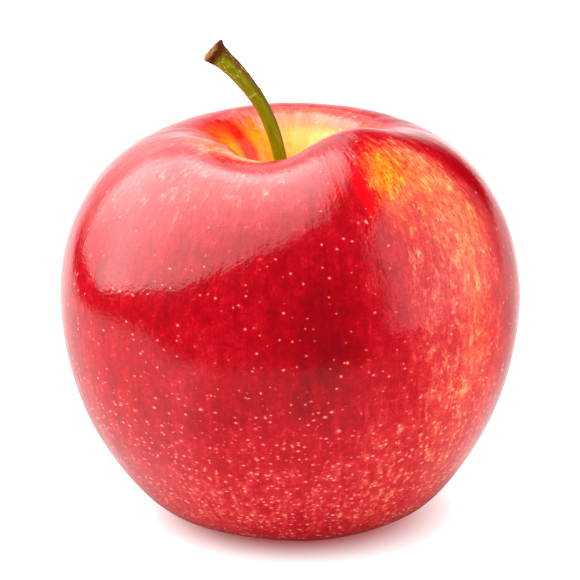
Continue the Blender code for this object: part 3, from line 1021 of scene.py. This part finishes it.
def stem_material():
    wood = Surface("stem_wood")
    part = wood.attribute("along")
    flow = wood.attribute("round", "Vector")
    cosine, sine, _ = wood.axes(flow)
    fibres = wood.noise(wood.vector("MULTIPLY", flow, (3.5, 3.5, 26.0)), 1.0, 3.0, 0.6)
    blotch = wood.noise(wood.vector("MULTIPLY", flow, (2.2, 2.2, 16.0)), 1.0)
    grain = wood.noise(wood.place, 4200.0, 2.0, 0.6)

    # Green over the front, brown along both edges: tan on the left, and purplish on the right,
    # where the dark brown is partly bark and partly painted shade on the side away from the
    # softbox.
    edges = wood.step(part, 0.4, 0.66, 0.5, 1.0)
    right = wood.plus(cosine, centred(wood, fibres, 0.9), wood.times(edges, 0.45))
    left = wood.plus(wood.times(cosine, -1.0), centred(wood, fibres, 0.9))
    behind = wood.plus(sine, centred(wood, blotch, 0.8))
    # Pale specks in the upper half, and a pale ring at the scar.
    distance, lot, _ = wood.cells(wood.vector("MULTIPLY", flow, (4.0, 4.0, 36.0)), 1.0)
    speck = wood.times(wood.step(distance, 0.2, 0.46, 1.0, 0.0),
                       wood.step(part, SCAR + 0.02, SCAR + 0.08),
                       wood.math("LESS_THAN", lot, 0.8), 0.75)
    ring = wood.math("ABSOLUTE", wood.minus(part, SCAR))
    ring = wood.times(wood.step(ring, 0.001, 0.0045, 0.65, 0.0),
                      wood.step(cosine, 0.0, 0.55, 1.0, 0.0))
    # Then a dark neck with a ragged edge, a corky lip and the broken end.
    ragged = wood.plus(part, centred(wood, blotch, 0.1))
    lip = wood.minus(ragged, wood.times(cosine, 0.045))
    colour = STEM_OLIVE
    for cover, coat in (
        (wood.step(blotch, 0.35, 0.65), STEM_GREEN),
        (wood.times(wood.step(right, 0.72, 1.08), edges, 0.85), STEM_SHADED_BROWN),
        (wood.times(wood.step(left, 0.6, 1.05), edges, 0.75), STEM_BARK),
        (wood.step(behind, 0.1, 0.8, 0.0, 0.7), STEM_BARK),
        (speck, STEM_SPECK),
        (ring, STEM_SPECK),
        (wood.step(ragged, 0.74, 0.84, 0.0, 0.96), STEM_DARK),
        (wood.step(lip, 0.9, 0.97, 0.0, 0.85), STEM_LIP),
        (wood.step(ragged, 0.955, 0.985, 0.0, 0.75), STEM_END_RED),
    ):
        colour = wood.mix(cover, colour, coat)
    colour = wood.mix(wood.step(grain, 0.35, 0.75, 0.0, 0.35), colour,
                      wood.mix(1.0, colour, STEM_DUST, "MULTIPLY"))

    relief = wood.plus(fibres, wood.times(grain, 0.6))
    wood.set(Base_Color=colour, Roughness=wood.step(part, 0.5, 0.9, 0.45, 0.75),
             Specular_IOR_Level=0.05, Normal=wood.bump(relief, STEM_RELIEF))
    return wood.material


stem = sweep("stem_fine", stem_line(), STEM_SIDES, stem_shape)
place_piece(stem, stem_material(), "stem")

# -------- the dried flower

BASIN_FLOOR = 0.142 * BODY_HEIGHT
SEPALS = 5
FIRST_SEPAL = 54  # azimuth in degrees
# A sepal's distance from the axis, drop below the basin's floor and half width.
SEPAL_LINE = (
    (2.75, 1.5, 1.5),
    (2.7, 2.45, 1.52),
    (2.85, 3.35, 1.38),
    (3.4, 4.15, 1.08),
    (4.3, 4.65, 0.72),
    (5.3, 4.8, 0.4),
    (6.2, 4.7, 0.12),
)
SEPAL_STEPS = 7
SEPAL_COLUMNS = 22
SEPAL_THICKNESS = 0.3 * MM
SEPAL_CUP = 0.22  # how far its edges turn in, as a part of its half width
SEPAL_RAGGED = 0.22  # how ragged they are, as a part of it too
SEPAL_CRUMPLES = (0.5, 0.16)  # broad and fine, in millimetres
SEPAL_VEIN = (0.1, 0.12)  # its height in millimetres, and its part of the half width
SEPAL_DARK = (0.075, 0.038, 0.018)
SEPAL_TAN = (0.33, 0.215, 0.115)
SEPAL_DOWN = (0.56, 0.5, 0.4)
SEPAL_RELIEF = 0.12 * MM
DRIED_RELIEF = 0.05 * MM

STAMENS = 10
STAMEN_RADIUS = 0.15 * MM
STAMEN_RING = 1.35 * MM  # how far from the axis they are rooted
STAMEN_DROP = 3.0 * MM  # how far the longest hang below the basin's floor
STAMEN_LENGTHS = (1.0, 0.82, 0.92)
STAMEN_BEND = 0.22 * MM
# A stamen's line: its part of the bend, how far out in radii, millimetres up, its part of the
# drop, and its thickness in radii.
STAMEN_LINE = (
    (0.0, 0, 0.6, 0.0, 1.1),
    (0.5, 0, 0.0, 0.25, 0.8),
    (1.0, 0, 0.0, 0.55, 0.75),
    (0.5, 1, 0.66, 1.0, 0.8),
    (0.0, 1, 0.5, 1.0, 1.9),
    (0.0, 1, 0.28, 1.0, 2.2),
    (0.0, 1, 0.08, 1.0, 1.7),
    (0.0, 1, 0.0, 1.0, 0.4),
)
STAMEN_STEPS = 5
STAMEN_SIDES = 16
STAMEN_THINNEST = 0.3 * STAMEN_RADIUS
ANTHER_START = 0.55  # as a part of its length
ANTHER_CLEFT = 0.28  # how deep the groove between its lobes is
STAMEN_DARK = (0.045, 0.02, 0.009)
STAMEN_PALE = (0.23, 0.13, 0.06)

STYLE_RADIUS = 0.36 * MM
# The styles' line: x, y and height above the basin's floor, and thickness in radii.
STYLE_LINE = (
    (0.0, 0.0, 4.7, 1.3),
    (0.0, 0.0, 2.35, 1.0),
    (0.1, 0.0, 0.0, 0.95),
    (0.0, 0.1, -1.54, 1.0),
    (0.0, 0.0, -2.024, 1.35),
    (0.0, 0.0, -2.2, 0.8),
)
STYLE_STEPS = 8
STYLE_SIDES = 30
STYLES = 5
STYLE_RIDGE = 0.16
STYLE_TWIST = 2.0
STYLE_DARK = (0.06, 0.028, 0.012)
STYLE_PALE = (0.29, 0.18, 0.085)


def turned(points, azimuth):
    """Turn points that face the front (-Y) to an azimuth."""
    cosine, sine = math.cos(azimuth), math.sin(azimuth)
    x, y, z = points.T
    return np.stack((x * cosine - y * sine, x * sine + y * cosine, z), axis=-1)


def make_sepal(index):
    """A dried sepal: a crumpled, curled leaf with thickness."""
    line = smooth_line([(distance * MM, drop * MM, half * MM)
                        for distance, drop, half in SEPAL_LINE], SEPAL_STEPS)
    rows, wide = len(line), SEPAL_COLUMNS + 1
    across = np.tile(np.linspace(-1.0, 1.0, wide), rows)
    along = np.repeat(np.arange(rows) / (rows - 1), wide)
    distance, drop, half = np.repeat(line, wide, axis=0).T
    place = np.stack((across * 1.4, along * 3.2, np.full(len(along), index * 5.0)), axis=-1)
    edge = 1.0 + SEPAL_RAGGED * gradient_noise(place * (0.0, 3.0, 1.0), 21) * np.abs(across)
    broad, fine = SEPAL_CRUMPLES
    crumple = broad * gradient_noise(place, 22) + fine * gradient_noise(place * 3.1, 23)
    height, width = SEPAL_VEIN
    vein = height * np.exp(-(across / width) ** 2)
    inward = SEPAL_CUP * half * across ** 2 + MM * (crumple * (0.35 + along) + vein)
    points = np.stack((across * half * edge, -(distance - inward),
                       BASIN_FLOOR - drop + 0.5 * MM * crumple * along), axis=-1)
    points = turned(points, math.radians(FIRST_SEPAL + index * 360 / SEPALS))
    bm = bmesh.new()
    verts = [bm.verts.new(point) for point in points]
    for face in strip_faces(rows, wide, SEPAL_COLUMNS):
        bm.faces.new([verts[corner] for corner in face])
    bmesh.ops.solidify(bm, geom=bm.faces[:], thickness=SEPAL_THICKNESS)
    bmesh.ops.recalc_face_normals(bm, faces=bm.faces[:])
    mesh = bpy.data.meshes.new("sepal")
    bm.to_mesh(mesh)
    bm.free()
    mesh.shade_smooth()
    return bpy.data.objects.new(f"sepal_fine_{index + 1}", mesh)


def sepal_material():
    dry = Surface("dried_sepal")
    crumple = dry.noise(dry.place, 900.0, 4.0, 0.65)
    down = dry.noise(dry.vector("MULTIPLY", dry.place, (1.0, 1.0, 0.35)), 6500.0, 2.0, 0.6)
    colour = dry.mix(dry.step(crumple, 0.38, 0.62), SEPAL_DARK, SEPAL_TAN)
    colour = dry.mix(dry.step(down, 0.5, 0.68, 0.0, 0.8), colour, SEPAL_DOWN)
    relief = dry.plus(crumple, dry.times(down, 0.5))
    dry.set(Base_Color=colour, Roughness=0.9, Normal=dry.bump(relief, SEPAL_RELIEF))
    return dry.material


def dried_material(name, dark, pale, scale):
    dry = Surface(name)
    mottle = dry.noise(dry.place, scale, 3.0, 0.6)
    dry.set(Base_Color=dry.mix(dry.step(mottle, 0.36, 0.66), dark, pale), Roughness=0.85,
            Normal=dry.bump(mottle, DRIED_RELIEF))
    return dry.material


def make_stamen(index):
    """A dried stamen: a bent filament with a two-lobed anther at its end."""
    drop = STAMEN_DROP * STAMEN_LENGTHS[index % len(STAMEN_LENGTHS)]
    bend = STAMEN_BEND * math.sin(index * 2.4)
    line = smooth_line([(bend * bent, -STAMEN_RING - STAMEN_RADIUS * out, up * MM - drop * down,
                         STAMEN_RADIUS * thick)
                        for bent, out, up, down, thick in STAMEN_LINE], STAMEN_STEPS)
    line[:, :3] = turned(line[:, :3], math.radians(index * 360 / STAMENS))
    line[:, 2] += BASIN_FLOOR
    line[:, 3] = np.maximum(line[:, 3], STAMEN_THINNEST)

    def lobes(part, angles):
        return 1.0 - ANTHER_CLEFT * np.cos(angles) ** 8 * (part > ANTHER_START), 0.0

    return sweep(f"stamen_fine_{index + 1:02d}", line, STAMEN_SIDES, lobes)


def make_styles():
    """The dried styles, grown together, with a ridge for each and a swollen stigma."""
    line = smooth_line([(x * MM, y * MM, z * MM, thick * STYLE_RADIUS)
                        for x, y, z, thick in STYLE_LINE], STYLE_STEPS)
    line[:, 2] += BASIN_FLOOR

    def ridges(part, angles):
        return 1.0 + STYLE_RIDGE * np.cos(STYLES * angles + STYLE_TWIST * part), 0.0

    return sweep("styles_fine", line, STYLE_SIDES, ridges)


downy = sepal_material()
for number in range(SEPALS):
    place_piece(make_sepal(number), downy, f"sepal_{number + 1}")

filament = dried_material("dried_stamen", STAMEN_DARK, STAMEN_PALE, 2600.0)
for number in range(STAMENS):
    place_piece(make_stamen(number), filament, f"stamen_{number + 1:02d}")

place_piece(make_styles(), dried_material("dried_styles", STYLE_DARK, STYLE_PALE, 1900.0),
            "styles")
